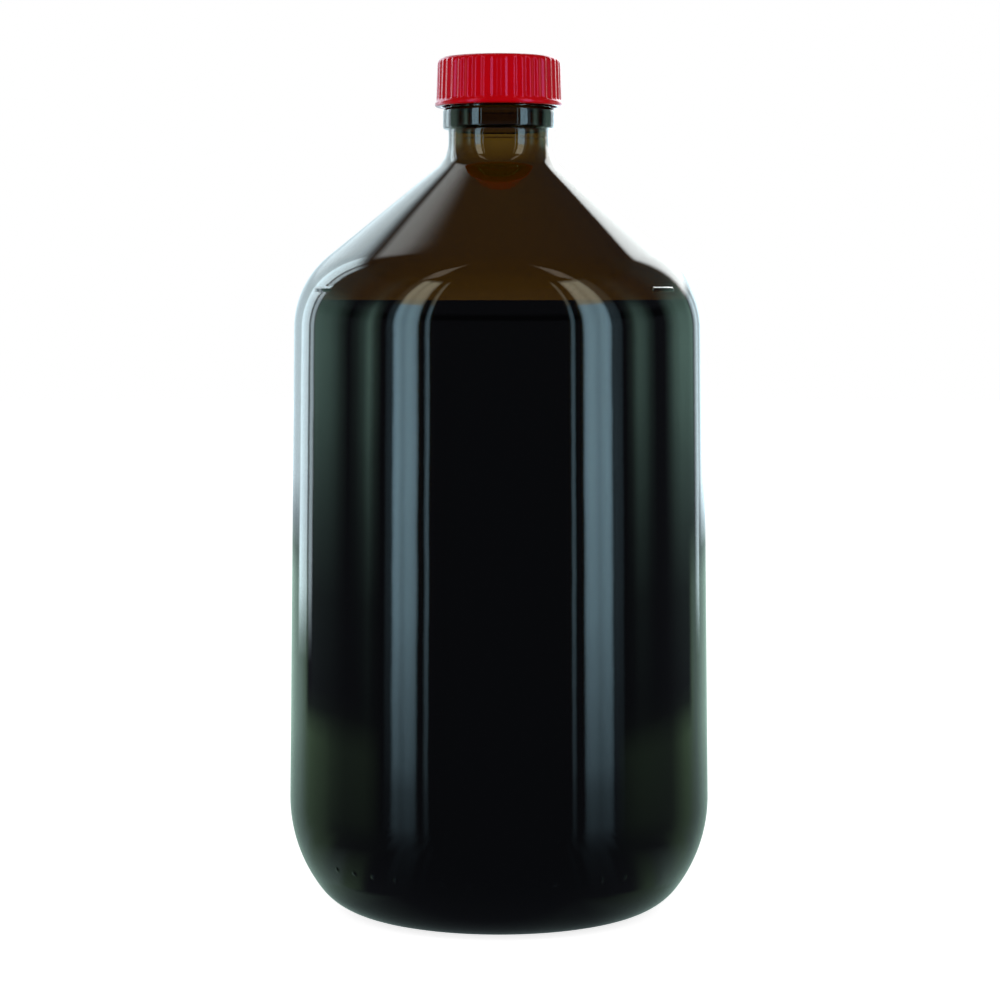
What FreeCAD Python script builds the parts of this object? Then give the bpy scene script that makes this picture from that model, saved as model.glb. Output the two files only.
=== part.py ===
import FreeCAD, Part
import os

# Narrow mouth bottle: blown amber glass bottle with a conical shoulder, moulded screw cap, sealing
# liner and dark filling. Origin: middle of the bearing ring, +Z up the bottle's axis. Millimetres.

doc = FreeCAD.newDocument("narrow_mouth_bottle")
sheet = doc.addObject("Spreadsheet::Sheet", "Dims")

# Driving dimensions: every size that can be set is written once, here.
DRIVING = [
    # glass body, outside
    ("body_radius", 69.5, "largest outer radius, at the top of the heel"),
    ("body_taper", 0.67, "lean of the body's side inwards going up, degrees"),
    ("heel_width", 25.8, "from the body's side in to the flat bearing ring"),
    ("bearing_width", 3.5, "width of the bearing ring"),
    ("push_up", 4.2, "height of the pushed-up base above the ring"),
    ("push_slope", 12.0, "how far the sloping edge of the pushed-up base reaches inwards"),
    ("heel_low_radius", 20.2, "small arc from the bearing ring into the heel"),
    ("heel_radius", 48.0, "large heel arc up to the body's side"),
    ("shoulder_radius", 30.6, "arc between the body's side and the cone"),
    ("cone_angle", 39.1, "slope of the conical shoulder, degrees"),
    ("cone_apex_height", 248.3, "height where the cone meets the neck"),
    ("neck_fillet", 11.4, "concave arc between cone and neck"),
    ("neck_radius", 16.6, "outer radius of the neck"),
    # glass finish
    ("neck_length", 9.6, "from the cone's meeting point with the neck up to the collar"),
    ("collar_height", 6.5, "height of the collar"),
    ("collar_radius", 18.45, "outer radius of the collar"),
    ("finish_height", 14.0, "from the collar up to the sealing rim"),
    ("finish_radius", 17.55, "outer radius of the finish, at the root of its thread"),
    ("rim_chamfer", 0.9, "bevel of the rim"),
    ("bore_radius", 14.2, "radius of the mouth"),
    # glass walls
    ("wall", 2.9, "wall of body and shoulder"),
    ("base_wall", 5.2, "glass over the middle of the base"),
    ("heel_inner_radius", 27.0, "size of the inner heel, laid out as two slopes"),
    # cap
    ("cap_height", 16.1, "bottom edge to top face"),
    ("cap_plate", 1.6, "thickness of the top"),
    ("cap_inner_radius", 19.05, "radius of the cap's cavity, at the root of its thread"),
    ("cap_rib_radius", 20.55, "radius over the ribs"),
    ("cap_top_bevel", 1.5, "height and width of the cap's sloping top edge"),
    ("cap_bead_radius", 21.15, "radius of the flared bottom bead"),
    ("cap_bead_height", 1.9, "height of the bead"),
    ("rib_count", 42, "number of grip ribs"),
    ("rib_floor_radius", 20.0, "radius of the floor between ribs"),
    ("rib_gap_floor", 1.3, "width of a gap at its floor"),
    ("rib_gap_flare", 0.45, "how much wider a gap is on each side, one millimetre further out"),
    # liner and filling
    ("liner_radius", 18.4, "radius of the sealing disc"),
    ("liner_thickness", 1.3, "thickness of the sealing disc"),
    ("fill_rise", 9.2, "level of the filling over the upper end of the body's straight side"),
]

# Sizes that follow from the driving ones.
DERIVED = [
    ("half_turn", "90 - cone_angle"),
    # heel: the small arc touches the ground plane at the ring and the large arc from inside
    ("bearing_outer", "body_radius - heel_width"),
    ("bearing_inner", "bearing_outer - bearing_width"),
    ("heel_mid_r", "body_radius - heel_radius"),
    ("heel_reach", "bearing_outer - heel_mid_r"),
    ("heel_diff", "heel_radius - heel_low_radius"),
    ("heel_mid_z", "heel_low_radius + sqrt(heel_diff * heel_diff - heel_reach * heel_reach)"),
    ("heel_join_angle", "acos(heel_reach / heel_diff) / 1 deg"),
    ("heel_join_r", "heel_mid_r + heel_radius * cos(heel_join_angle)"),
    ("heel_join_z", "heel_mid_z - heel_radius * sin(heel_join_angle)"),
    ("heel_top_r", "heel_mid_r + heel_radius * cos(body_taper)"),
    ("heel_top_z", "heel_mid_z + heel_radius * sin(body_taper)"),
    # shoulder: its arc touches the leaning side and the cone; the offsets are the distances of those
    # two lines from the origin, along their normals
    ("side_offset", "heel_mid_r * cos(body_taper) + heel_mid_z * sin(body_taper) + heel_radius"),
    ("cone_offset", "neck_radius * sin(cone_angle) + cone_apex_height * cos(cone_angle)"),
    ("side_in", "side_offset - shoulder_radius"),
    ("cone_in", "cone_offset - shoulder_radius"),
    ("shoulder_mid_r", "(side_in * cos(cone_angle) - cone_in * sin(body_taper)) / cos(body_taper + cone_angle)"),
    ("shoulder_mid_z", "(cone_in * cos(body_taper) - side_in * sin(cone_angle)) / cos(body_taper + cone_angle)"),
    ("shoulder_start_r", "shoulder_mid_r + shoulder_radius * cos(body_taper)"),
    ("shoulder_start_z", "shoulder_mid_z + shoulder_radius * sin(body_taper)"),
    ("shoulder_end_r", "shoulder_mid_r + shoulder_radius * cos(half_turn)"),
    ("shoulder_end_z", "shoulder_mid_z + shoulder_radius * sin(half_turn)"),
    # outer neck fillet
    ("neck_tangent", "neck_fillet * tan(half_turn / 2)"),
    ("neck_mid_r", "neck_radius + neck_fillet"),
    ("neck_start_r", "neck_radius + neck_tangent * cos(cone_angle)"),
    ("neck_start_z", "cone_apex_height - neck_tangent * sin(cone_angle)"),
    ("neck_end_z", "cone_apex_height + neck_tangent"),
    # pushed-up base
    ("push_edge_r", "bearing_inner - push_slope"),
    # inner wall: a straight bore that leaves the glass thicker towards the heel, then parallel to the
    # cone; shoulder and heel in two slopes each
    ("inner_shoulder_radius", "shoulder_radius - wall"),
    ("inner_radius", "shoulder_mid_r + inner_shoulder_radius"),
    ("inner_bend_r", "shoulder_mid_r + inner_shoulder_radius * cos(half_turn / 2)"),
    ("inner_bend_z", "shoulder_mid_z + inner_shoulder_radius * sin(half_turn / 2)"),
    ("inner_cone_r", "shoulder_mid_r + inner_shoulder_radius * cos(half_turn)"),
    ("inner_cone_z", "shoulder_mid_z + inner_shoulder_radius * sin(half_turn)"),
    ("inner_neck_z", "inner_cone_z + (inner_cone_r - bore_radius) * tan(cone_angle)"),
    ("inner_floor_z", "push_up + base_wall"),
    ("inner_heel_z", "inner_floor_z + heel_inner_radius"),
    ("inner_heel_r", "inner_radius - 0.25 * heel_inner_radius"),
    ("inner_heel_low_z", "inner_floor_z + 0.25 * heel_inner_radius"),
    ("inner_floor_r", "inner_radius - heel_inner_radius"),
    ("fill_height", "shoulder_mid_z + fill_rise"),
    ("fill_share", "fill_rise / (inner_bend_z - shoulder_mid_z)"),
    ("fill_r", "inner_radius + fill_share * (inner_bend_r - inner_radius)"),
    # finish and cap
    ("collar_bottom", "cone_apex_height + neck_length"),
    ("collar_top", "collar_bottom + collar_height"),
    ("finish_top", "collar_top + finish_height"),
    ("rim_side_z", "finish_top - rim_chamfer"),
    ("rim_face_r", "finish_radius - rim_chamfer"),
    ("liner_top", "finish_top + liner_thickness"),
    ("cap_top", "liner_top + cap_plate"),
    ("cap_bottom", "cap_top - cap_height"),
    ("bead_top", "cap_bottom + cap_bead_height"),
    ("bead_flare_z", "bead_top - cap_bead_height / 3"),
    ("cap_face_r", "cap_rib_radius - cap_top_bevel"),
    ("rib_top", "cap_top - cap_top_bevel"),
    ("rib_gap_r", "cap_bead_radius + 1"),
    ("rib_gap_half", "rib_gap_floor / 2"),
    ("rib_gap_half_low", "-rib_gap_half"),
    ("rib_gap_wide", "rib_gap_half + (rib_gap_r - rib_floor_radius) * rib_gap_flare"),
    ("rib_gap_wide_low", "-rib_gap_wide"),
]

# The arcs of the outside are laid out in equal straight steps with their corners on the arc, which keeps the
# mesh light: (name, middle r, middle z, radius, first angle, last angle, steps).
STEPPED = [
    ("low_heel", "bearing_outer", "heel_low_radius", "heel_low_radius", "-90", "-heel_join_angle", 3),
    ("heel", "heel_mid_r", "heel_mid_z", "heel_radius", "-heel_join_angle", "body_taper", 3),
    ("shoulder", "shoulder_mid_r", "shoulder_mid_z", "shoulder_radius", "body_taper", "half_turn", 4),
    ("neck", "neck_mid_r", "neck_end_z", "neck_fillet", "270 - cone_angle", "180", 4),
]
for name, middle_r, middle_z, radius, first, last, count in STEPPED:
    for i in range(1, count):
        angle = "(%s) + ((%s) - (%s)) * %d / %d" % (first, last, first, i, count)
        DERIVED.append(("%s_%d_r" % (name, i), "%s + %s * cos(%s)" % (middle_r, radius, angle)))
        DERIVED.append(("%s_%d_z" % (name, i), "%s + %s * sin(%s)" % (middle_z, radius, angle)))

row = 1
for alias, value, note in DRIVING:
    sheet.set("A%d" % row, alias)
    sheet.set("B%d" % row, str(value))
    sheet.set("C%d" % row, note)
    sheet.setAlias("B%d" % row, alias)
    row += 1
for alias, formula in DERIVED:
    sheet.set("A%d" % row, alias)
    sheet.set("B%d" % row, "=" + formula)
    sheet.setAlias("B%d" % row, alias)
    row += 1
doc.recompute()


def size(alias):
    """Value of a cell, for first guesses; the bindings below carry the sheet's values."""
    return float(sheet.get(alias))


def plane_of(body, role):
    """Origin plane or axis of a body by its role."""
    for feature in body.Origin.OriginFeatures:
        if feature.Role == role:
            return feature
    raise ValueError(role)


def new_sketch(body, name, role):
    sketch = body.newObject("Sketcher::SketchObject", name)
    sketch.AttachmentSupport = (plane_of(body, role), "")
    sketch.MapMode = "FlatFace"
    return sketch


def closed_profile(sketch, steps):
    """Draws a closed outline of lines and arcs.

    Each step is (name, r, z, arc): r and z are cell names or numbers; arc is None for a line to the
    next point, or (radius cell, side) with side +1 when the arc's middle lies left of the way there.
    """
    import Sketcher

    def number(cell):
        return size(cell) if isinstance(cell, str) else float(cell)

    points = [(number(r), number(z)) for _, r, z, _ in steps]
    count = len(steps)
    for i, (_, _, _, arc) in enumerate(steps):
        start = FreeCAD.Vector(points[i][0], points[i][1], 0)
        end = FreeCAD.Vector(points[(i + 1) % count][0], points[(i + 1) % count][1], 0)
        if arc is None:
            sketch.addGeometry(Part.LineSegment(start, end), False)
            continue
        radius = number(arc[0])
        chord = end - start
        left = FreeCAD.Vector(-chord.y, chord.x, 0).normalize()
        depth = max(radius * radius - chord.Length * chord.Length / 4, 0) ** 0.5
        centre = (start + end) * 0.5 + left * (depth * arc[1])
        bulge = centre - left * (radius * arc[1])
        sketch.addGeometry(Part.Arc(start, bulge, end), False)
    ends = []
    for i, (_, _, _, arc) in enumerate(steps):
        # a drawn arc always runs anticlockwise, so its first point may be the step's end
        turned = arc is not None and arc[1] < 0
        ends.append((2, 1) if turned else (1, 2))
    for i in range(count):
        following = (i + 1) % count
        sketch.addConstraint(Sketcher.Constraint("Coincident", i, ends[i][1], following, ends[following][0]))
    for i, (name, r, z, arc) in enumerate(steps):
        point = ends[i][0]
        for letter, kind, cell, value in (("r", "DistanceX", r, points[i][0]), ("z", "DistanceY", z, points[i][1])):
            if not isinstance(cell, str) and cell == 0:
                if letter == "r":
                    sketch.addConstraint(Sketcher.Constraint("PointOnObject", i, point, -2))
                else:
                    sketch.addConstraint(Sketcher.Constraint("PointOnObject", i, point, -1))
                continue
            index = sketch.addConstraint(Sketcher.Constraint(kind, -1, 1, i, point, value))
            label = "%s_%s" % (name, letter)
            sketch.renameConstraint(index, label)
            if isinstance(cell, str):
                sketch.setExpression("Constraints." + label, "Dims." + cell)
        if arc is not None:
            index = sketch.addConstraint(Sketcher.Constraint("Radius", i, number(arc[0])))
            sketch.renameConstraint(index, name + "_arc")
            sketch.setExpression("Constraints." + name + "_arc", "Dims." + arc[0])


def arc_steps(wanted):
    """Corner points of a stepped arc between its two ends."""
    for name, _, _, _, _, _, count in STEPPED:
        if name == wanted:
            return [("%s_%d" % (name, i), "%s_%d_r" % (name, i), "%s_%d_z" % (name, i), None)
                    for i in range(1, count)]
    raise ValueError(wanted)


def revolved(body, name, sketch):
    turn = body.newObject("PartDesign::Revolution", name)
    turn.Profile = sketch
    turn.ReferenceAxis = (sketch, ["V_Axis"])
    turn.Angle = 360
    sketch.Visibility = False
    return turn


# Glass wall: one revolved outline, outside from the base up to the rim, then back down the inside.
bottle = doc.addObject("PartDesign::Body", "bottle")
bottle.Label = "bottle"
outline = new_sketch(bottle, "glass_outline", "XZ_Plane")
closed_profile(outline, [
    ("base_middle", 0, "push_up", None),
    ("base_edge", "push_edge_r", "push_up", None),
    ("ring_inner", "bearing_inner", 0, None),
    ("ring_outer", "bearing_outer", 0, None),
] + arc_steps("low_heel") + [
    ("heel_join", "heel_join_r", "heel_join_z", None),
] + arc_steps("heel") + [
    ("heel_top", "heel_top_r", "heel_top_z", None),
    ("shoulder_start", "shoulder_start_r", "shoulder_start_z", None),
] + arc_steps("shoulder") + [
    ("shoulder_end", "shoulder_end_r", "shoulder_end_z", None),
    ("neck_start", "neck_start_r", "neck_start_z", None),
] + arc_steps("neck") + [
    ("neck_end", "neck_radius", "neck_end_z", None),
    ("collar_root", "neck_radius", "collar_bottom", None),
    ("collar_under", "collar_radius", "collar_bottom", None),
    ("collar_over", "collar_radius", "collar_top", None),
    ("finish_root", "finish_radius", "collar_top", None),
    ("rim_side", "finish_radius", "rim_side_z", None),
    ("rim_face", "rim_face_r", "finish_top", None),
    ("mouth", "bore_radius", "finish_top", None),
    ("bore_end", "bore_radius", "inner_neck_z", None),
    ("in_cone_end", "inner_cone_r", "inner_cone_z", None),
    ("in_bend", "inner_bend_r", "inner_bend_z", None),
    ("in_shoulder", "inner_radius", "shoulder_mid_z", None),
    ("in_heel_top", "inner_radius", "inner_heel_z", None),
    ("in_heel_low", "inner_heel_r", "inner_heel_low_z", None),
    ("in_floor_edge", "inner_floor_r", "inner_floor_z", None),
    ("in_floor_middle", 0, "inner_floor_z", None),
])
revolved(bottle, "glass_wall", outline)

# Cap: top, skirt with the flared bead, plain cavity.
cap = doc.addObject("PartDesign::Body", "cap")
cap.Label = "cap"
cap_outline = new_sketch(cap, "cap_outline", "XZ_Plane")
closed_profile(cap_outline, [
    ("plate_middle", 0, "liner_top", None),
    ("plate_edge", "cap_inner_radius", "liner_top", None),
    ("skirt_inside", "cap_inner_radius", "cap_bottom", None),
    ("bead_under", "cap_bead_radius", "cap_bottom", None),
    ("bead_flare", "cap_bead_radius", "bead_flare_z", None),
    ("skirt_foot", "cap_rib_radius", "bead_top", None),
    ("skirt_top", "cap_rib_radius", "rib_top", None),
    ("top_edge", "cap_face_r", "cap_top", None),
    ("top_middle", 0, "cap_top", None),
])
revolved(cap, "cap_wall", cap_outline)

# The gaps between the grip ribs end on the bead and run out through the sloping top edge.
gap_section = new_sketch(cap, "rib_gap_section", "XY_Plane")
gap_section.setExpression(".AttachmentOffset.Base.z", "Dims.bead_top")
closed_profile(gap_section, [
    ("floor_low", "rib_floor_radius", "rib_gap_half_low", None),
    ("open_low", "rib_gap_r", "rib_gap_wide_low", None),
    ("open_high", "rib_gap_r", "rib_gap_wide", None),
    ("floor_high", "rib_floor_radius", "rib_gap_half", None),
])
gap = cap.newObject("PartDesign::Pocket", "rib_gap")
gap.Profile = gap_section
gap.setExpression("Length", "Dims.cap_height")
gap.Reversed = True
gap_section.Visibility = False
cap.Tip = gap
ribs = cap.newObject("PartDesign::PolarPattern", "ribs")
ribs.Originals = [gap]
ribs.Axis = (plane_of(cap, "Z_Axis"), [""])
ribs.Angle = 360
ribs.Occurrences = int(size("rib_count"))
ribs.setExpression("Occurrences", "Dims.rib_count")
cap.Tip = ribs

# Sealing disc between the rim and the cap's top.
liner = doc.addObject("Part::Cylinder", "liner")
liner.Label = "liner"
liner.setExpression("Radius", "Dims.liner_radius")
liner.setExpression("Height", "Dims.liner_thickness")
liner.setExpression(".Placement.Base.z", "Dims.finish_top")

# Filling, up to its level in the shoulder.
liquid = doc.addObject("PartDesign::Body", "liquid")
liquid.Label = "liquid"
filling = new_sketch(liquid, "filling_outline", "XZ_Plane")
closed_profile(filling, [
    ("floor_middle", 0, "inner_floor_z", None),
    ("floor_edge", "inner_floor_r", "inner_floor_z", None),
    ("heel_low", "inner_heel_r", "inner_heel_low_z", None),
    ("heel_top", "inner_radius", "inner_heel_z", None),
    ("shoulder_start", "inner_radius", "shoulder_mid_z", None),
    ("level_edge", "fill_r", "fill_height", None),
    ("level_middle", 0, "fill_height", None),
])
revolved(liquid, "filling", filling)

doc.recompute()

for thing in doc.Objects:
    bad = [state for state in thing.State if state in ("Invalid", "Error")]
    if bad:
        raise RuntimeError("%s: %s" % (thing.Name, bad))

os.makedirs("parts", exist_ok=True)
for piece in (bottle, cap, liner, liquid):
    shape = piece.Shape
    if shape.isNull() or not shape.isValid() or len(shape.Solids) != 1:
        raise RuntimeError("%s: shape not usable" % piece.Label)
    shape.Solids[0].exportStep("parts/%s.step" % piece.Label)
    print(piece.Label, "%.1f mm3" % shape.Volume, shape.BoundBox)
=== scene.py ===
import math

import bmesh
import bpy
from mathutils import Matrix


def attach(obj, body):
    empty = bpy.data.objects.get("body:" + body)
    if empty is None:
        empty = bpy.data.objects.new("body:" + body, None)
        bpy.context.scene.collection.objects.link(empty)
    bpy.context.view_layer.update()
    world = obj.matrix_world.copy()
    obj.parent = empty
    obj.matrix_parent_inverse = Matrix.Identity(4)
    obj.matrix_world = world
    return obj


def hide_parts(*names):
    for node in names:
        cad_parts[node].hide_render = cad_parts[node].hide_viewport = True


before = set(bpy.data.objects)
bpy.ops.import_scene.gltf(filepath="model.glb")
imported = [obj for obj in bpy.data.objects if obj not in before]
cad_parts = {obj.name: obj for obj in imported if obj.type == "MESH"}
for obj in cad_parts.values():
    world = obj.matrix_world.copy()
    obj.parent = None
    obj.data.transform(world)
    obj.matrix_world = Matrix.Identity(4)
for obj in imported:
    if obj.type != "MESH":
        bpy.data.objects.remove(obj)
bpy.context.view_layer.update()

MM = 0.001


# ---------------------------------------------------------------- shapes

def arc(middle_r, middle_z, radius, first, last, steps, skip_first=False):
    """Points (r, z) on an arc in the half plane, angles in degrees."""
    points = []
    for i in range(1 if skip_first else 0, steps + 1):
        angle = math.radians(first + (last - first) * i / steps)
        points.append((middle_r + radius * math.cos(angle), middle_z + radius * math.sin(angle)))
    return points


def line(start, end, steps, skip_first=True):
    """Points (r, z) on a straight line in the half plane."""
    return [(start[0] + (end[0] - start[0]) * i / steps, start[1] + (end[1] - start[1]) * i / steps)
            for i in range(1 if skip_first else 0, steps + 1)]


def smooth(x, low, high):
    """0 below low, 1 above high, an S-shaped step between them."""
    x = min(max((x - low) / (high - low), 0.0), 1.0)
    return x * x * (3 - 2 * x)


def lathe(rings, columns, moved=None):
    """Mesh from a list of (r, z) rings; r = 0 is a pole. moved(i, r, z, azimuth) gives a new (r, z)."""
    mesh = bmesh.new()
    rows = []
    for i, (r, z) in enumerate(rings):
        if r < 1e-6:
            rows.append([mesh.verts.new((0, 0, z * MM))])
            continue
        row = []
        for k in range(columns):
            azimuth = 2 * math.pi * k / columns
            rr, zz = moved(i, r, z, azimuth) if moved else (r, z)
            row.append(mesh.verts.new((rr * math.cos(azimuth) * MM, rr * math.sin(azimuth) * MM, zz * MM)))
        rows.append(row)
    for low, high in zip(rows, rows[1:]):
        for k in range(columns):
            following = (k + 1) % columns
            if len(low) == 1:
                mesh.faces.new((low[0], high[following], high[k]))
            elif len(high) == 1:
                mesh.faces.new((low[k], low[following], high[0]))
            else:
                mesh.faces.new((low[k], low[following], high[following], high[k]))
    return mesh


def piece(name, mesh, material):
    bmesh.ops.recalc_face_normals(mesh, faces=mesh.faces)
    data = bpy.data.meshes.new(name)
    mesh.to_mesh(data)
    mesh.free()
    for polygon in data.polygons:
        polygon.use_smooth = True
    data.materials.append(material)
    thing = bpy.data.objects.new(name, data)
    bpy.context.scene.collection.objects.link(thing)
    return thing


# ---------------------------------------------------------------- materials

def new_material(name):
    material = bpy.data.materials.new(name)
    material.use_nodes = True
    tree = material.node_tree
    tree.nodes.clear()
    output = tree.nodes.new("ShaderNodeOutputMaterial")
    return material, tree, output


def noise(tree, source, scale, detail=2.0, roughness=0.5):
    node = tree.nodes.new("ShaderNodeTexNoise")
    node.inputs["Scale"].default_value = scale
    node.inputs["Detail"].default_value = detail
    node.inputs["Roughness"].default_value = roughness
    tree.links.new(source, node.inputs["Vector"])
    return node


def bump(tree, height, distance, strength=1.0, below=None):
    node = tree.nodes.new("ShaderNodeBump")
    node.inputs["Distance"].default_value = distance
    node.inputs["Strength"].default_value = strength
    tree.links.new(height, node.inputs["Height"])
    if below is not None:
        tree.links.new(below.outputs["Normal"], node.inputs["Normal"])
    return node


def ramp(tree, value, stops):
    node = tree.nodes.new("ShaderNodeValToRGB")
    node.color_ramp.elements[0].position = stops[0][0]
    node.color_ramp.elements[0].color = stops[0][1]
    node.color_ramp.elements[1].position = stops[-1][0]
    node.color_ramp.elements[1].color = stops[-1][1]
    for position, colour in stops[1:-1]:
        node.color_ramp.elements.new(position).color = colour
    tree.links.new(value, node.inputs["Fac"])
    return node


def grey(level):
    return (level, level, level, 1.0)


def glass_material():
    material, tree, output = new_material("amber_glass_blown")
    shader = tree.nodes.new("ShaderNodeBsdfPrincipled")
    shader.inputs["Base Color"].default_value = (1.0, 1.0, 1.0, 1.0)
    shader.inputs["Transmission Weight"].default_value = 1.0
    shader.inputs["Roughness"].default_value = 0.0
    shader.inputs["IOR"].default_value = 1.52
    place = tree.nodes.new("ShaderNodeTexCoord")
    waves = noise(tree, place.outputs["Object"], 38.0, 1.0)
    peel = noise(tree, place.outputs["Object"], 420.0, 2.0)
    low = bump(tree, waves.outputs["Fac"], 0.00008)
    high = bump(tree, peel.outputs["Fac"], 0.000003, below=low)
    tree.links.new(high.outputs["Normal"], shader.inputs["Normal"])
    tree.links.new(shader.outputs["BSDF"], output.inputs["Surface"])
    tint = tree.nodes.new("ShaderNodeVolumeAbsorption")
    tint.inputs["Color"].default_value = (0.545, 0.44, 0.04, 1.0)
    tint.inputs["Density"].default_value = 1200.0
    tree.links.new(tint.outputs["Volume"], output.inputs["Volume"])
    return material


def liquid_material():
    material, tree, output = new_material("dark_liquid")
    shader = tree.nodes.new("ShaderNodeBsdfPrincipled")
    shader.inputs["Base Color"].default_value = (1.0, 1.0, 1.0, 1.0)
    shader.inputs["Transmission Weight"].default_value = 1.0
    shader.inputs["Roughness"].default_value = 0.0
    shader.inputs["IOR"].default_value = 1.34
    place = tree.nodes.new("ShaderNodeTexCoord")
    calm = noise(tree, place.outputs["Object"], 9.0, 0.0)
    level = bump(tree, calm.outputs["Fac"], 0.00005)
    tree.links.new(level.outputs["Normal"], shader.inputs["Normal"])
    tree.links.new(shader.outputs["BSDF"], output.inputs["Surface"])
    tint = tree.nodes.new("ShaderNodeVolumeAbsorption")
    tint.inputs["Color"].default_value = (0.30, 0.45, 0.10, 1.0)
    tint.inputs["Density"].default_value = 400.0
    tree.links.new(tint.outputs["Volume"], output.inputs["Volume"])
    return material


def cap_material():
    material, tree, output = new_material("red_moulded_plastic")
    shader = tree.nodes.new("ShaderNodeBsdfPrincipled")
    place = tree.nodes.new("ShaderNodeTexCoord")
    clouds = noise(tree, place.outputs["Object"], 90.0, 3.0)
    colour = ramp(tree, clouds.outputs["Fac"], [(0.3, (0.47, 0.0, 0.0006, 1.0)), (0.7, (0.54, 0.0, 0.001, 1.0))])
    tree.links.new(colour.outputs["Color"], shader.inputs["Base Color"])
    grain = noise(tree, place.outputs["Object"], 2200.0, 2.0)
    gloss = ramp(tree, grain.outputs["Fac"], [(0.3, grey(0.15)), (0.7, grey(0.24))])
    facing = tree.nodes.new("ShaderNodeSeparateXYZ")
    tree.links.new(place.outputs["Normal"], facing.inputs["Vector"])
    top = ramp(tree, facing.outputs["Z"], [(0.85, grey(0.0)), (0.98, grey(0.4))])
    matt = tree.nodes.new("ShaderNodeMath")
    matt.operation = "ADD"
    tree.links.new(gloss.outputs["Color"], matt.inputs[0])
    tree.links.new(top.outputs["Color"], matt.inputs[1])
    tree.links.new(matt.outputs["Value"], shader.inputs["Roughness"])
    shader.inputs["IOR"].default_value = 1.47
    shader.inputs["Specular Tint"].default_value = (1.0, 0.32, 0.8, 1.0)
    low = bump(tree, clouds.outputs["Fac"], 0.00002)
    high = bump(tree, grain.outputs["Fac"], 0.000004, below=low)
    tree.links.new(high.outputs["Normal"], shader.inputs["Normal"])
    tree.links.new(shader.outputs["BSDF"], output.inputs["Surface"])
    return material


def liner_material():
    material, tree, output = new_material("white_liner_foam")
    shader = tree.nodes.new("ShaderNodeBsdfPrincipled")
    place = tree.nodes.new("ShaderNodeTexCoord")
    cells = noise(tree, place.outputs["Object"], 1500.0, 3.0)
    colour = ramp(tree, cells.outputs["Fac"], [(0.3, (0.78, 0.78, 0.76, 1.0)), (0.7, (0.86, 0.86, 0.84, 1.0))])
    tree.links.new(colour.outputs["Color"], shader.inputs["Base Color"])
    shader.inputs["Roughness"].default_value = 0.6
    skin = bump(tree, cells.outputs["Fac"], 0.00002)
    tree.links.new(skin.outputs["Normal"], shader.inputs["Normal"])
    tree.links.new(shader.outputs["BSDF"], output.inputs["Surface"])
    return material


# ---------------------------------------------------------------- glass bottle

NECK_R = 16.6
COLLAR_R = 18.45
FINISH_R = 17.55
TOP = 278.4
BORE_R = 14.2
INNER_R = 64.785
INNER_SHOULDER = 27.7
INNER_HEEL = 27.0
INNER_HEEL_R = 37.785
INNER_HEEL_Z = 36.4
FLOOR_Z = 9.4
NECK_ROOT_R = 28.0
HEEL = (21.5, 36.933)
SHOULDER = (37.085, 192.221)
LEAN = 0.67
SLOPE = 50.9
LEAD = 4.233
LEVEL = 200.2

outer = [(0, 4.2), (10, 4.2), (20, 4.2), (25, 4.12), (28.2, 3.9), (31, 3.1), (34, 2.05), (37, 0.95), (39, 0.25),
         (40.2, 0.0), (42.0, 0.0)]
outer += arc(43.7, 20.2, 20.2, -90, -37.007, 12)
outer += arc(HEEL[0], HEEL[1], 48.0, -37.007, LEAN, 16, True)
outer += line(outer[-1], (67.683, 192.579), 18)
outer += arc(SHOULDER[0], SHOULDER[1], 30.6, LEAN, SLOPE, 20, True)
outer += line(outer[-1], (20.81, 244.88), 8)
outer += arc(NECK_ROOT_R, 253.73, 11.4, 180 + SLOPE, 180, 12, True)
outer += [(NECK_R, 254.0), (NECK_R, 254.25), (NECK_R + 0.12, 254.5), (NECK_R, 254.75), (NECK_R, 255.1),
          (NECK_R, 256.3)]
outer += arc(NECK_R + 0.8, 257.1, 0.8, 180, 90, 4, True)
outer += [(COLLAR_R - 1.0, 257.9)]
outer += arc(COLLAR_R - 0.7, 258.6, 0.7, -90, 0, 5)
outer += [(COLLAR_R, 260.0), (COLLAR_R, 261.3), (COLLAR_R, 262.6)]
outer += arc(COLLAR_R - 0.7, 263.7, 0.7, 0, 90, 5)
finish_start = len(outer)
outer += line((FINISH_R, 264.5), (FINISH_R, 277.3), 56, False)
finish_end = len(outer)
outer += arc(FINISH_R - 1.1, 277.3, 1.1, 0, 90, 6, True)
inner = [(15.9, TOP), (15.2, TOP)]
inner += arc(BORE_R + 0.6, TOP - 0.6, 0.6, 90, 180, 4)
inner += line((BORE_R, TOP - 0.6), (BORE_R, 253.086), 6)
inner += arc(NECK_ROOT_R, 253.086, 13.8, 180, 180 + SLOPE, 12, True)
inner += line(inner[-1], (54.555, 213.718), 7)
inner += arc(SHOULDER[0], SHOULDER[1], INNER_SHOULDER, SLOPE, 0, 16, True)
inner += line((INNER_R, SHOULDER[1]), (INNER_R, INNER_HEEL_Z), 10)
inner += arc(INNER_HEEL_R, INNER_HEEL_Z, INNER_HEEL, 0, -90, 14, True)
inner += [(28, FLOOR_Z), (18, FLOOR_Z), (9, FLOOR_Z), (0, FLOOR_Z)]
glass_rings = outer + inner


def ridge(z, azimuth, bottom, turns, foot, crest, height):
    """Height of a right-handed thread's ridge over its root, with soft run-outs at both ends."""
    best = 0.0
    for turn in range(-1, int(turns) + 2):
        along = azimuth / (2 * math.pi) + turn
        if along < 0 or along > turns:
            continue
        middle = bottom + foot / 2 + LEAD * along
        aside = abs(z - middle)
        fade = smooth(along, 0, 0.09) * smooth(turns - along, 0, 0.09)
        best = max(best, height * fade * (1 - smooth(aside, crest / 2, foot / 2)))
    return best


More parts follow.
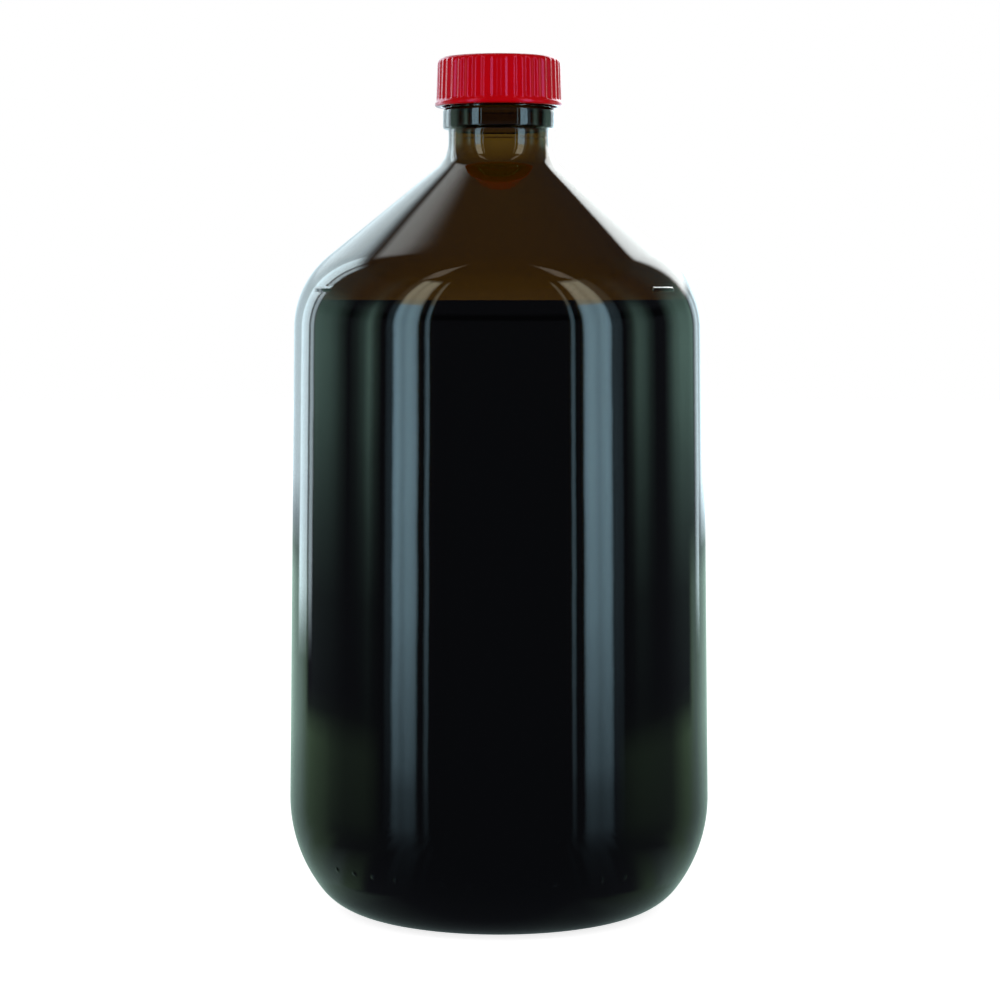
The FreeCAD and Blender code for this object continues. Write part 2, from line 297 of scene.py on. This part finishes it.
def glass_moved(i, r, z, azimuth):
    if finish_start <= i < finish_end:
        return r + ridge(z, azimuth, bottom=269.15, turns=1.5, foot=2.3, crest=1.0, height=1.2), z
    return r, z


# Raised marks: azimuth in degrees, height, sweep in degrees. Dots: azimuths of the row on the heel.
MARKS = [(-36.5, 205.0, 11.0), (210.0, 205.0, 11.0)]
MARK_HALF_WIDTH = 0.85
MARK_HEIGHT = 0.5
DOTS = [219.1, 226.4, 233.3, 240.8, 255.0, 262.3, 285.1, 299.0, 306.5]
DOT_Z = 20.0
DOT_R = 0.95
DOT_HEIGHT = 0.42


def turned(azimuth, middle):
    """Angle from the middle to the azimuth, between -180 and 180 degrees."""
    return (azimuth - middle + 180) % 360 - 180


def raised(co):
    """How far the marks and dots stand out at a point of the outer glass, in mm."""
    r = math.hypot(co.x, co.y) / MM
    z = co.z / MM
    azimuth = math.degrees(math.atan2(co.y, co.x))
    out = 0.0
    for middle, height, sweep in MARKS:
        along = abs(math.radians(turned(azimuth, middle)) * r)
        half = math.radians(sweep / 2) * r - 0.75
        away = math.hypot(max(along - half, 0), (z - height) * 1.1)
        if away < MARK_HALF_WIDTH:
            out = max(out, MARK_HEIGHT * (1 - (away / MARK_HALF_WIDTH) ** 2) ** 2)
    for middle in DOTS:
        along = math.radians(turned(azimuth, middle)) * r
        away = math.hypot(along, (z - DOT_Z) * 1.07)
        if away < DOT_R:
            out = max(out, DOT_HEIGHT * (1 - (away / DOT_R) ** 2) ** 2)
    return out


def near_detail(co):
    """Whether a point of the glass lies close enough to a mark or dot to need a finer mesh."""
    r = math.hypot(co.x, co.y) / MM
    z = co.z / MM
    azimuth = math.degrees(math.atan2(co.y, co.x))
    for middle, height, sweep in MARKS:
        if abs(z - height) < 2.4 and abs(turned(azimuth, middle)) < sweep / 2 + 2.2 and r > 64:
            return True
    for middle in DOTS:
        if abs(z - DOT_Z) < 2.4 and abs(turned(azimuth, middle)) < 2.2 and r > 62:
            return True
    return False


glass = lathe(glass_rings, 256, glass_moved)
bmesh.ops.recalc_face_normals(glass, faces=glass.faces)
chosen = [face for face in glass.faces if near_detail(face.calc_center_median())]
edges = {edge for face in chosen for edge in face.edges}
bmesh.ops.subdivide_edges(glass, edges=list(edges), cuts=5, use_grid_fill=True)
glass.normal_update()
moves = []
for vert in glass.verts:
    if vert.co.z < 0.23 and math.hypot(vert.co.x, vert.co.y) > 0.062:
        height = raised(vert.co)
        if height > 0:
            moves.append((vert, vert.co + vert.normal * (height * MM)))
for vert, place in moves:
    vert.co = place
bottle = piece("bottle_glass", glass, glass_material())
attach(bottle, "bottle")
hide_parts("bottle")

# ---------------------------------------------------------------- liquid

# The filling reaches a little into the glass, so that no film of air shows between the two.
OVER = 0.15
CREEP = 0.9
rise = math.degrees(math.asin((LEVEL + CREEP - SHOULDER[1]) / (INNER_SHOULDER + OVER)))
liquid_rings = [(0, FLOOR_Z - OVER), (10, FLOOR_Z - OVER), (22, FLOOR_Z - OVER)]
liquid_rings += arc(INNER_HEEL_R, INNER_HEEL_Z, INNER_HEEL + OVER, -90, 0, 14)
liquid_rings += line((INNER_R + OVER, INNER_HEEL_Z), (INNER_R + OVER, SHOULDER[1]), 10)
liquid_rings += arc(SHOULDER[0], SHOULDER[1], INNER_SHOULDER + OVER, 0, rise, 8, True)
edge_r = liquid_rings[-1][0]
liquid_rings += [(edge_r - 0.3, LEVEL + 0.6), (edge_r - 0.8, LEVEL + 0.32), (edge_r - 1.6, LEVEL + 0.12),
                 (edge_r - 3.0, LEVEL), (45, LEVEL), (25, LEVEL), (0, LEVEL)]
liquid = piece("bottle_liquid", lathe(liquid_rings, 192), liquid_material())
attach(liquid, "bottle")
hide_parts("liquid")

# ---------------------------------------------------------------- cap

CAP_BOTTOM = 265.2
CAP_TOP = 281.3
CAP_INSIDE = 279.7
RIBS = 42
RIB_DEPTH = 0.38
RIB_FOOT = 267.0
TOP_FLAT_R = 17.5
CAP_BORE_R = 19.05
cap_rings = [(0, CAP_TOP), (8, CAP_TOP), (14, CAP_TOP), (17.0, CAP_TOP)]
cap_rings += arc(18.2, CAP_TOP - 2.1, 2.1, 90, 0, 12, False)
cap_rings += line((20.3, CAP_TOP - 2.1), (20.66, 268.1), 8)
cap_rings += [(20.67, 267.7), (20.68, 267.35), (20.72, 267.1), (20.86, 266.85), (21.02, 266.65), (21.12, 266.45),
              (21.15, 266.2), (21.15, 265.9), (21.1, 265.6), (20.95, 265.35), (20.7, 265.22), (20.3, CAP_BOTTOM),
              (19.6, CAP_BOTTOM), (19.3, 265.25), (19.1, 265.4), (CAP_BORE_R, 265.7)]
thread_start = len(cap_rings)
cap_rings += line((CAP_BORE_R, 266.0), (CAP_BORE_R, 276.6), 48, False)
thread_end = len(cap_rings)
cap_rings += [(CAP_BORE_R, 277.5), (CAP_BORE_R, 278.6), (19.0, 279.4), (18.8, 279.65), (18.3, CAP_INSIDE),
              (12, CAP_INSIDE), (0, CAP_INSIDE)]


def cap_moved(i, r, z, azimuth):
    if thread_start <= i < thread_end:
        return r - ridge(z, azimuth, bottom=267.36, turns=1.25, foot=1.9, crest=0.8, height=0.7), z
    if z > RIB_FOOT and i < thread_start:
        wave = 0.5 + 0.5 * math.cos(azimuth * RIBS + math.pi)
        depth = min(RIB_DEPTH, max(r - TOP_FLAT_R, 0.0))
        depth *= smooth(z, RIB_FOOT, RIB_FOOT + 0.5) * (1 - smooth(z, 279.5, 280.7))
        return r - depth * wave ** 1.2, z
    return r, z


cap = piece("cap_shell", lathe(cap_rings, 756, cap_moved), cap_material())
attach(cap, "cap")
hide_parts("cap")

# ---------------------------------------------------------------- liner

LINER_R = 18.4
LINER_EDGE = 0.3

liner_rings = [(0, TOP), (9, TOP), (17.6, TOP)]
liner_rings += arc(LINER_R - LINER_EDGE, TOP + LINER_EDGE, LINER_EDGE, -90, 0, 4)
liner_rings += arc(LINER_R - LINER_EDGE, CAP_INSIDE - LINER_EDGE, LINER_EDGE, 0, 90, 4)
liner_rings += [(17.6, CAP_INSIDE), (9, CAP_INSIDE), (0, CAP_INSIDE)]
liner = piece("liner_disc", lathe(liner_rings, 128), liner_material())
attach(liner, "seal")
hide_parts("liner")

# ---------------------------------------------------------------- floor, world and lamps


def join(tree, operation, first, second):
    """Output of a math node over two sockets or numbers."""
    node = tree.nodes.new("ShaderNodeMath")
    node.operation = operation
    for slot, value in enumerate((first, second)):
        if isinstance(value, float):
            node.inputs[slot].default_value = value
        else:
            tree.links.new(value, node.inputs[slot])
    return node.outputs[0]


def straight_through(tree):
    """1 where the background is seen directly or through glass, with no mirror or matt surface on the way."""
    node = tree.nodes.new("ShaderNodeLightPath")
    seen = join(tree, "MAXIMUM", node.outputs["Is Camera Ray"], node.outputs["Is Transmission Ray"])
    no_mirror = join(tree, "LESS_THAN", node.outputs["Glossy Depth"], 0.5)
    no_matt = join(tree, "LESS_THAN", node.outputs["Diffuse Depth"], 0.5)
    return join(tree, "MULTIPLY", seen, join(tree, "MULTIPLY", no_mirror, no_matt))


# Level of the surroundings as matt surfaces get them; glass that is looked through shows plain white.
SOFT = 0.36
world = bpy.data.worlds.new("studio")
bpy.context.scene.world = world
world.use_nodes = True
tree = world.node_tree
tree.nodes.clear()
output = tree.nodes.new("ShaderNodeOutputWorld")
white = tree.nodes.new("ShaderNodeBackground")
white.inputs["Color"].default_value = (1.0, 1.0, 1.0, 1.0)
soft = tree.nodes.new("ShaderNodeBackground")
soft.inputs["Color"].default_value = (SOFT, SOFT, SOFT, 1.0)
mix = tree.nodes.new("ShaderNodeMixShader")
tree.links.new(straight_through(tree), mix.inputs["Fac"])
tree.links.new(soft.outputs["Background"], mix.inputs[1])
tree.links.new(white.outputs["Background"], mix.inputs[2])
tree.links.new(mix.outputs["Shader"], output.inputs["Surface"])
world.cycles.sampling_method = "NONE"

# Light tent: sizes in metres. Only mirrors see its glow.
BODY_R = 0.0695
TENT_R = 0.45
TENT_TOP = 0.86
KEY_LEVEL = 3.75
CONE_HEIGHT = 0.24

# Colours (r, g, b) of the tent's own lights.
AMBIENT = (0.057, 0.064, 0.079)
KEY_COLOUR = (0.62, 1.0, 1.2)
UPPER_COLOUR = (1.04, 1.0, 0.74)
PATCH_COLOUR = (0.94, 1.0, 1.0)
BAND_COLOUR = (0.57, 1.0, 0.84)
RIM_COLOUR = (0.8, 1.0, 1.08)
LOW_COLOUR = (0.57, 1.0, 0.52)
EDGE_COLOUR = (0.66, 1.0, 0.84)
SPOT_COLOUR = (1.15, 1.0, 0.8)

# Each list: (turn of the body's side away from the camera in degrees, radiance seen mirrored there).
KEY = {"left": [(18.9, 0), (19.4, 0.4), (20.0, 0.34), (20.7, 0), (22.1, 0), (23.1, 0.8), (24.6, 1), (25.8, 0.98),
                (26.7, 0.8), (27.2, 0.8), (28.1, 1.02), (29.4, 0.97), (30.4, 0.1), (31.9, 0.06), (32.7, 0)],
       "right": [(19.7, 0), (20.2, 0.34), (20.8, 0.3), (21.3, 0), (23.2, 0), (24.2, 0.85), (25.4, 1.02), (27.0, 0.95),
                 (28.2, 0.78), (29.3, 0.92), (30.7, 1), (31.7, 0.85), (32.6, 0.12), (35.4, 0.08), (36.2, 0)]}
BAND = {"left": [(33.7, 0), (35.9, 0.24), (38.0, 0.8), (40.2, 0.3), (42.7, 0.09), (45.7, 0), (49, 0.15), (51.7, 0.33),
                 (54.7, 0.42), (61.7, 0.4), (62.8, 0)],
        "right": [(36.9, 0), (39.1, 0.13), (41.3, 0.56), (43.7, 0.45), (46.1, 0.14), (48.7, 0), (52.2, 0),
                  (54.1, 0.12), (57.1, 0.38), (60.7, 0.5), (65.7, 0.36), (68.7, 0.4), (69.7, 0)]}
RIM = {"left": [(62.2, 0), (63.4, 2.4), (64.6, 2.4), (65.3, 0.7), (66.0, 0.7), (66.6, 3.4), (72, 3.8), (73.2, 1.9),
                (78, 1.3), (90, 1.0)],
       "right": [(69.3, 0), (70.7, 1.2), (72.8, 2.7), (74.7, 1.4), (76.8, 3.1), (90, 3.0)]}
LOW = {"left": [(33, 0), (36, 0.1), (39, 0.16), (46, 0.13), (52, 0.23), (55, 0.33), (64, 0.4), (70, 0.66), (90, 0.8)],
       "right": [(33, 0), (37, 0.12), (42, 0.17), (54, 0.1), (57.4, 0.22), (61, 0.35), (69, 0.42), (74.6, 0.65),
                 (90, 0.8)]}

# Shares by height on the wall (ALONG) or by reach on the floor, in metres: (place, share).
KEY_ALONG = [(0, 0.3), (0.026, 0.45), (0.07, 0.78), (0.136, 1.02), (0.185, 1.05), (0.38, 1.0), (0.41, 0.78),
             (0.7, 0.78), (0.77, 0)]
KEY_FLOOR = [(0.08, 0), (0.13, 0.02), (0.23, 0.085), (0.38, 0.16), (0.45, 0.3)]
BAND_ALONG = [(0, 0), (0.03, 0.06), (0.07, 0.14), (0.105, 0.5), (0.136, 1), (0.158, 1.5), (0.185, 1.9), (0.25, 1.8),
              (0.34, 1.2), (0.38, 0.6), (0.42, 0.2), (0.8, 0)]
RIM_ALONG = {"left": [(0.04, 0), (0.075, 0.85), (0.136, 1), (0.3, 1), (0.36, 1.25), (0.54, 1.25), (0.62, 0)],
             "right": [(0.04, 0), (0.075, 0.85), (0.136, 1), (0.28, 1), (0.33, 0)]}
LOW_SIDE = [(0.07, 0.55), (0.15, 0.6), (0.3, 0.75), (0.45, 1)]
LOW_FRONT = [(0.07, 0), (0.12, 0.1), (0.2, 0.4), (0.3, 0.7), (0.45, 1)]


def level_at(stops, x):
    """Level of a list of stops (x, level) at x, straight between the stops."""
    for (x0, y0), (x1, y1) in zip(stops, stops[1:]):
        if x <= x1:
            share = 0.0 if x1 == x0 else min(max((x - x0) / (x1 - x0), 0.0), 1.0)
            return y0 + (y1 - y0) * share
    return stops[-1][1]


def body_turn(azimuth, reach):
    """Turn of the body's side, in degrees from the camera side, that mirrors a light at this azimuth."""
    turn = azimuth / 2
    for _ in range(6):
        share = min(BODY_R * math.sin(math.radians(turn)) / reach, 1.0)
        turn = (azimuth + math.degrees(math.asin(share))) / 2
    return turn


def glow(azimuth, reach, height):
    """Colour (r, g, b, 1) of the light tent at a place on its wall, floor or ceiling, in degrees and metres."""
    side = "left" if azimuth < 0 else "right"
    azimuth = abs(azimuth)
    turn = body_turn(azimuth, max(reach, BODY_R))
    on_floor = height < 0.001 and reach < TENT_R
    key = KEY_LEVEL * level_at(KEY[side], turn)
    band = rim = 0.0
    low = level_at(LOW[side], turn)
    if on_floor:
        key *= level_at(KEY_FLOOR, reach)
        share = smooth(turn, 50, 58)
        low *= level_at(LOW_SIDE, reach) * share + level_at(LOW_FRONT, reach) * (1 - share)
    else:
        key *= level_at(KEY_ALONG, height)
        band = level_at(BAND[side], turn) * level_at(BAND_ALONG, height)
        rim = level_at(RIM[side], turn) * level_at(RIM_ALONG[side], height)
        rim *= 1 - smooth(turn, 72.4, 74) * (1 - smooth(height, 0.08, 0.12))
        share = smooth(turn, 64, 67)
        low *= share * (1 - smooth(height, 0.07, 0.1)) + (1 - share) * (1 - smooth(height, 0.0, 0.02))
    rise = math.degrees(math.atan2(height - CONE_HEIGHT, reach))
    patch = 0.0
    if side == "left":
        patch += 1.35 * smooth(rise, 41, 46) * (1 - smooth(rise, 50, 67)) * smooth(azimuth, 126, 136)
        patch += 0.5 * (1 - smooth(rise, 32, 36)) * smooth(height, 0.29, 0.33) * smooth(azimuth, 140, 150)
    else:
        patch += 4.2 * (1 - smooth(rise, 36.6, 39)) * smooth(height, 0.29, 0.33) * smooth(azimuth, 128, 136)
    spot = 0.03 * smooth(rise, 40, 46)
    if height > 0.7:
        # a slanting stroke of light on the ceiling, mirrored as a short curved highlight over the fill line
        aside = abs(reach + TENT_TOP - height - 0.27 - 0.0145 * (azimuth - 47))
        spot += 1.1 * smooth(azimuth, 47, 51) * (1 - smooth(azimuth, 57, 61)) * (1 - smooth(aside, 0.09, 0.14))
    warm = smooth(height, 0.38, 0.41)
    outer = smooth(turn, 62, 70)
    cool_air = 1 - 0.6 * smooth(rise, 38, 44)
    at_neck = 0.0 if on_floor else smooth(height, 0.258, 0.27) * (1 - smooth(height, 0.3, 0.31))
    rest = cool_air * (1 - 0.6 * at_neck)
    return tuple(base * rest + key * (cool * (1 - warm) + upper * warm) + band * green + rim * pale
                 + low * (olive * (1 - outer) + edge * outer) + patch * plain + spot * warmth
                 for base, cool, upper, plain, green, pale, olive, edge, warmth
                 in zip(AMBIENT, KEY_COLOUR, UPPER_COLOUR, PATCH_COLOUR, BAND_COLOUR, RIM_COLOUR, LOW_COLOUR,
                        EDGE_COLOUR, SPOT_COLOUR)) + (1.0,)


# The tent: floor, wall and ceiling as rings (reach, height), closed in the middle, each point with its own glow.
columns = 720
rings = [(0.02 + 0.05 * k, 0.0) for k in range(1, 9)] + [(TENT_R - 0.002, 0.0)]
rings += [(TENT_R, height)
          for height in (0.0015, 0.008, 0.016, 0.025, 0.035, 0.045, 0.055, 0.07, 0.085, 0.1, 0.12, 0.136, 0.158,
                         0.185, 0.2, 0.214, 0.225, 0.24, 0.258, 0.27, 0.28, 0.288, 0.3, 0.33, 0.37, 0.385, 0.41,
                         0.45, 0.49, 0.52, 0.55, 0.58, 0.61, 0.64, 0.67, 0.7, 0.74, 0.78, 0.82, TENT_TOP)]
rings += [(TENT_R - 0.0225 * k, TENT_TOP) for k in range(1, 20)]
mesh = bmesh.new()
layer = mesh.verts.layers.float_color.new("glow")
rows = []
for reach, height in rings:
    row = []
    for k in range(columns):
        azimuth = 360.0 * k / columns - 180.0
        angle = math.radians(azimuth)
        vert = mesh.verts.new((reach * math.sin(angle), -reach * math.cos(angle), height))
        vert[layer] = glow(azimuth, reach, height)
        row.append(vert)
    rows.append(row)
for low, high in zip(rows, rows[1:]):
    for k in range(columns):
        mesh.faces.new((low[k], low[(k + 1) % columns], high[(k + 1) % columns], high[k]))
for row in (rows[0], rows[-1]):
    mesh.faces.new(row)
tent_data = bpy.data.meshes.new("light_tent")
mesh.to_mesh(tent_data)
mesh.free()
material, tree, output = new_material("tent_glow")
mirrored = tree.nodes.new("ShaderNodeEmission")
level = tree.nodes.new("ShaderNodeAttribute")
level.attribute_name = "glow"
tree.links.new(level.outputs["Color"], mirrored.inputs["Color"])
white = tree.nodes.new("ShaderNodeEmission")
soft = tree.nodes.new("ShaderNodeEmission")
soft.inputs["Strength"].default_value = SOFT
path = tree.nodes.new("ShaderNodeLightPath")
first = tree.nodes.new("ShaderNodeMixShader")
second = tree.nodes.new("ShaderNodeMixShader")
tree.links.new(join(tree, "GREATER_THAN", path.outputs["Diffuse Depth"], 0.5), first.inputs["Fac"])
tree.links.new(mirrored.outputs["Emission"], first.inputs[1])
tree.links.new(soft.outputs["Emission"], first.inputs[2])
tree.links.new(straight_through(tree), second.inputs["Fac"])
tree.links.new(first.outputs["Shader"], second.inputs[1])
tree.links.new(white.outputs["Emission"], second.inputs[2])
tree.links.new(second.outputs["Shader"], output.inputs["Surface"])
material.cycles.emission_sampling = "NONE"
tent_data.materials.append(material)
tent = bpy.data.objects.new("light_tent", tent_data)
bpy.context.scene.collection.objects.link(tent)
tent.visible_camera = False
tent.visible_diffuse = False
tent.visible_volume_scatter = False
tent.visible_shadow = False

# Floor: matt, with a share of its own white only where it is seen directly or through glass.
FLOOR_WHITE = 0.8
floor_mesh = bmesh.new()
bmesh.ops.create_circle(floor_mesh, cap_ends=True, radius=5.0, segments=96)
floor_data = bpy.data.meshes.new("floor")
floor_mesh.to_mesh(floor_data)
floor_mesh.free()
material, tree, output = new_material("pale_floor")
paint = tree.nodes.new("ShaderNodeBsdfDiffuse")
paint.inputs["Color"].default_value = (0.85, 0.85, 0.85, 1.0)
base = tree.nodes.new("ShaderNodeEmission")
share = join(tree, "MULTIPLY", straight_through(tree), FLOOR_WHITE)
tree.links.new(share, base.inputs["Strength"])
lit = tree.nodes.new("ShaderNodeAddShader")
tree.links.new(paint.outputs["BSDF"], lit.inputs[0])
tree.links.new(base.outputs["Emission"], lit.inputs[1])
tree.links.new(lit.outputs["Shader"], output.inputs["Surface"])
floor_data.materials.append(material)
floor = bpy.data.objects.new("floor", floor_data)
floor.location.z = -0.0004
floor.visible_glossy = False
bpy.context.scene.collection.objects.link(floor)

# Two soft lamps for the matt surfaces, seen by no mirror.
LAMP_DISTANCE = 1.0
LAMP_HEIGHT = 0.55
for name, azimuth in (("lamp_left", -52.0), ("lamp_right", 52.0)):
    lamp = bpy.data.lights.new(name, "AREA")
    lamp.shape = "RECTANGLE"
    lamp.size = 0.5
    lamp.size_y = 0.9
    lamp.energy = 4.0
    stand = bpy.data.objects.new(name, lamp)
    angle = math.radians(azimuth)
    stand.location = (LAMP_DISTANCE * math.sin(angle), -LAMP_DISTANCE * math.cos(angle), LAMP_HEIGHT)
    stand.rotation_euler = (math.radians(72), 0.0, angle)
    stand.visible_camera = False
    stand.visible_glossy = False
    stand.visible_transmission = False
    bpy.context.scene.collection.objects.link(stand)

# ---------------------------------------------------------------- camera

lens = bpy.data.cameras.new("camera")
lens.sensor_fit = "HORIZONTAL"
lens.sensor_width = 36.0
lens.lens = 98.81
lens.shift_x = 0.001
lens.shift_y = -0.07
lens.clip_start = 0.01
lens.clip_end = 50.0
camera = bpy.data.objects.new("camera", lens)
camera.location = (0.0, -0.9101, 0.19935)
camera.rotation_euler = (math.radians(90 - 2.57), 0.0, 0.0)
bpy.context.scene.collection.objects.link(camera)
bpy.context.scene.camera = camera
bpy.context.scene.view_settings.view_transform = "Standard"
